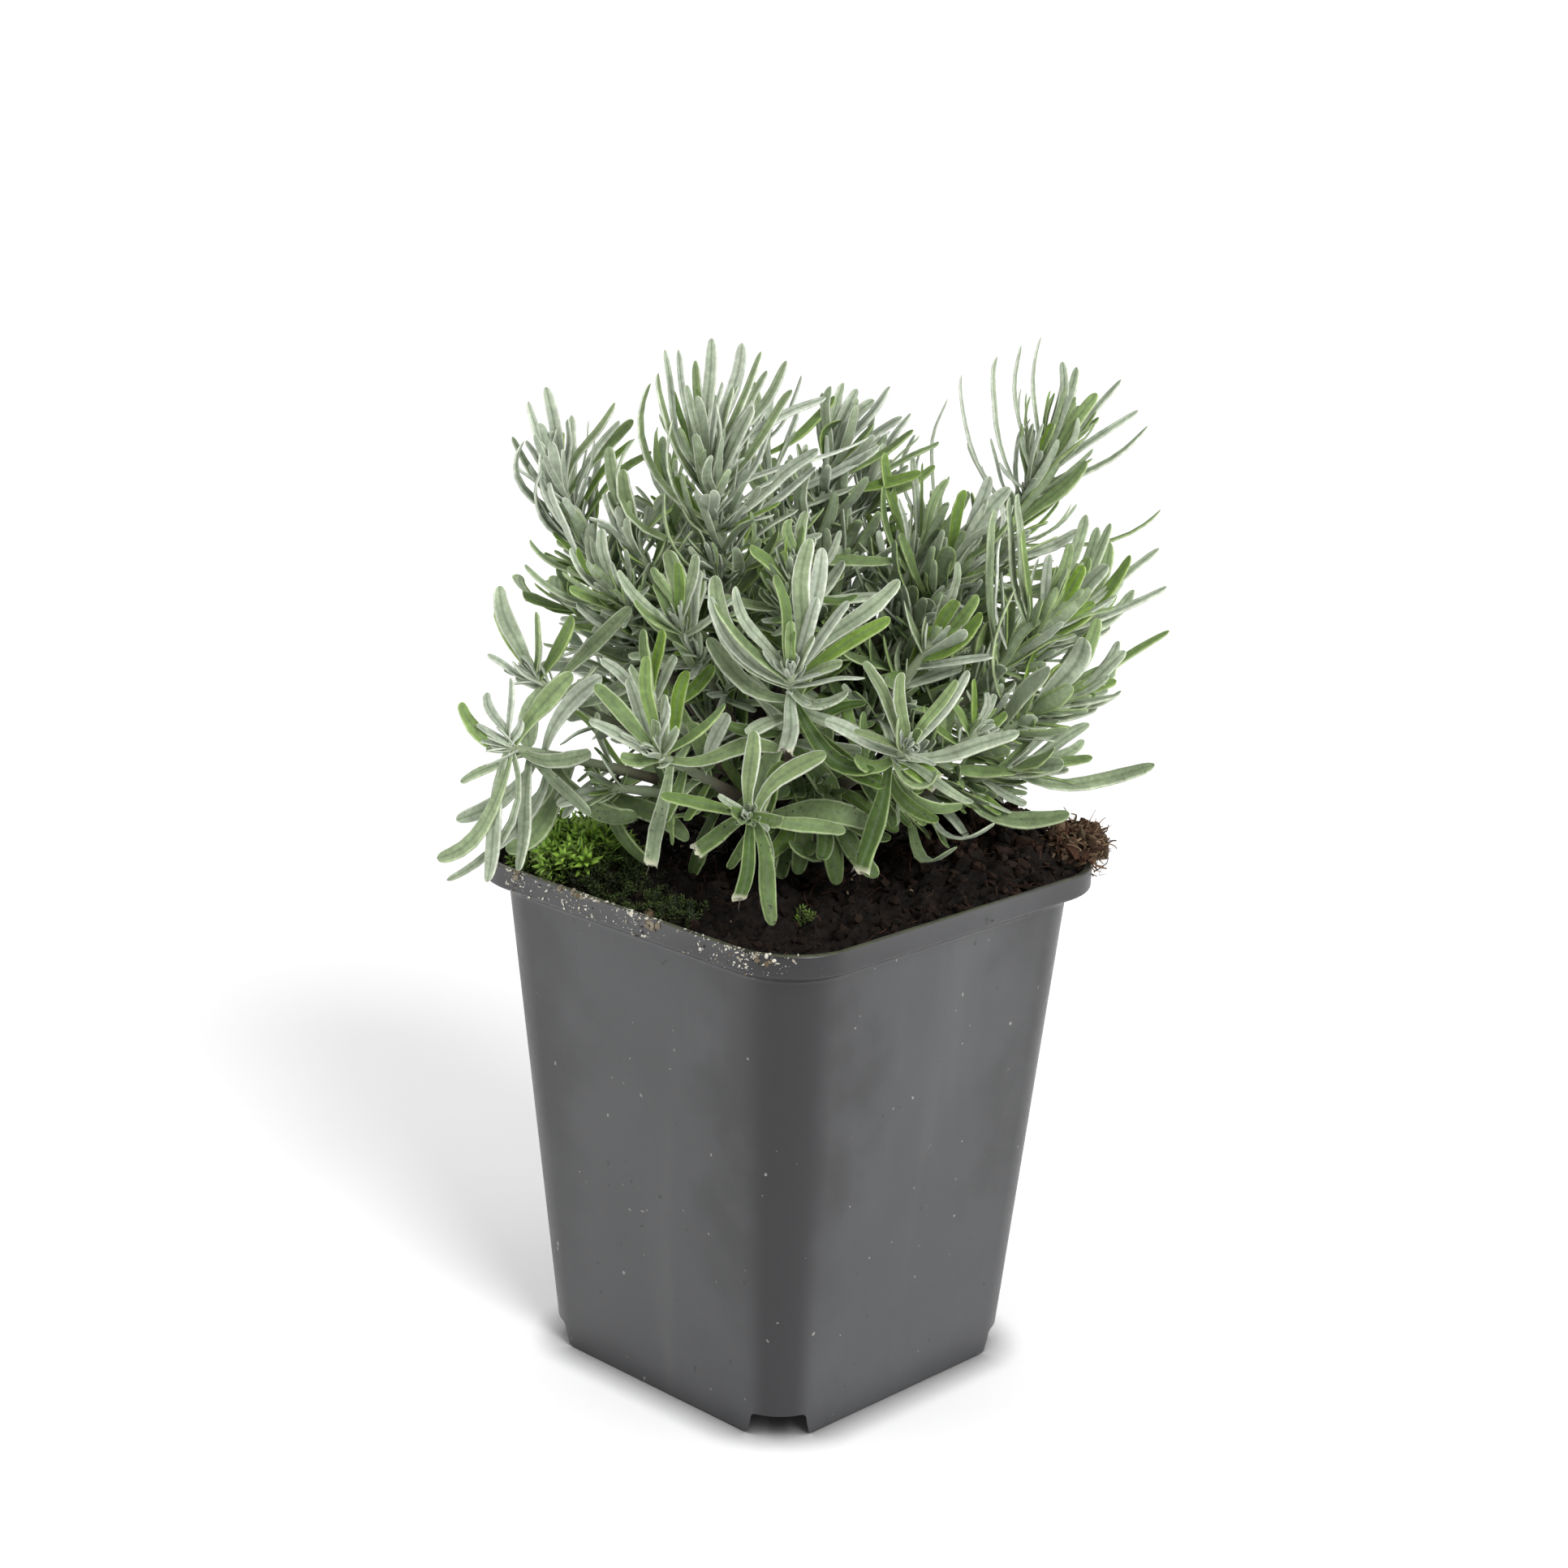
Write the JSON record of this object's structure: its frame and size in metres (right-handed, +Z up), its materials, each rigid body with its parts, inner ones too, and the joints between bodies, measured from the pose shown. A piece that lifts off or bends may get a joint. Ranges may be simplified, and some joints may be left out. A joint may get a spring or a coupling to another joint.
{
  "type": "potted lavender",
  "caption": "Young lavender with grey-green narrow leaves, on a woody base in a tall tapered square nursery pot with soil and a moss cushion",
  "frame": {"origin": "middle of the pot's underside, on the plane it stands on", "axes": "+Z up along the plant, X and Y along the sides of the square pot; the corner between -Y and +X faces the reference view"},
  "size_m": [0.1216, 0.1201, 0.1997],
  "materials": {
    "pot": "semi-matt moulded, dark grey",
    "soil": "rough, damp peat and coir; paper stands in for soil",
    "moss": "feathery, dull; fabric stands in for moss",
    "wood": "rough bark",
    "withered": "dry and dull; paper stands in for withered leaves",
    "leaf": "finely felted, dull; paper stands in for leaf tissue"
  },
  "bodies": {
    "root": {"pot": "pot", "soil": "soil", "moss": "moss", "woody_stem": "wood", "shoot_top_left": "leaf", "shoot_left_top": "leaf", "shoot_left_small": "leaf", "shoot_centre_back_1": "leaf", "shoot_centre_back_2": "leaf", "shoot_centre_back_3": "leaf", "shoot_back_thin": "leaf", "shoot_right_top": "leaf", "shoot_right_inner": "leaf", "shoot_right": "leaf", "shoot_right_low": "leaf", "shoot_right_bottom": "leaf", "shoot_front_right": "leaf", "shoot_front_centre": "leaf", "shoot_front_low": "leaf", "shoot_front_left": "leaf", "shoot_left": "leaf", "shoot_left_mid": "leaf", "shoot_left_inner": "leaf", "shoot_centre_left": "leaf", "shoot_centre_left_low": "leaf", "shoot_centre": "leaf", "shoot_young": "leaf", "shoot_right_centre": "leaf", "shoot_front_inner": "leaf", "shoot_left_low": "leaf", "shoot_right_upper": "leaf", "shoot_left_back": "leaf", "shoot_rear_left_top": "leaf", "shoot_rear_top": "leaf", "shoot_rear_right_top": "leaf", "shoot_rear_left": "leaf", "shoot_rear_mid": "leaf", "shoot_rear_right": "leaf", "shoot_rear_corner": "leaf", "shoot_rear_left_low": "leaf", "shoot_rear_low": "leaf", "withered_right": "withered", "withered_left": "withered"}
  },
  "joints": []
}
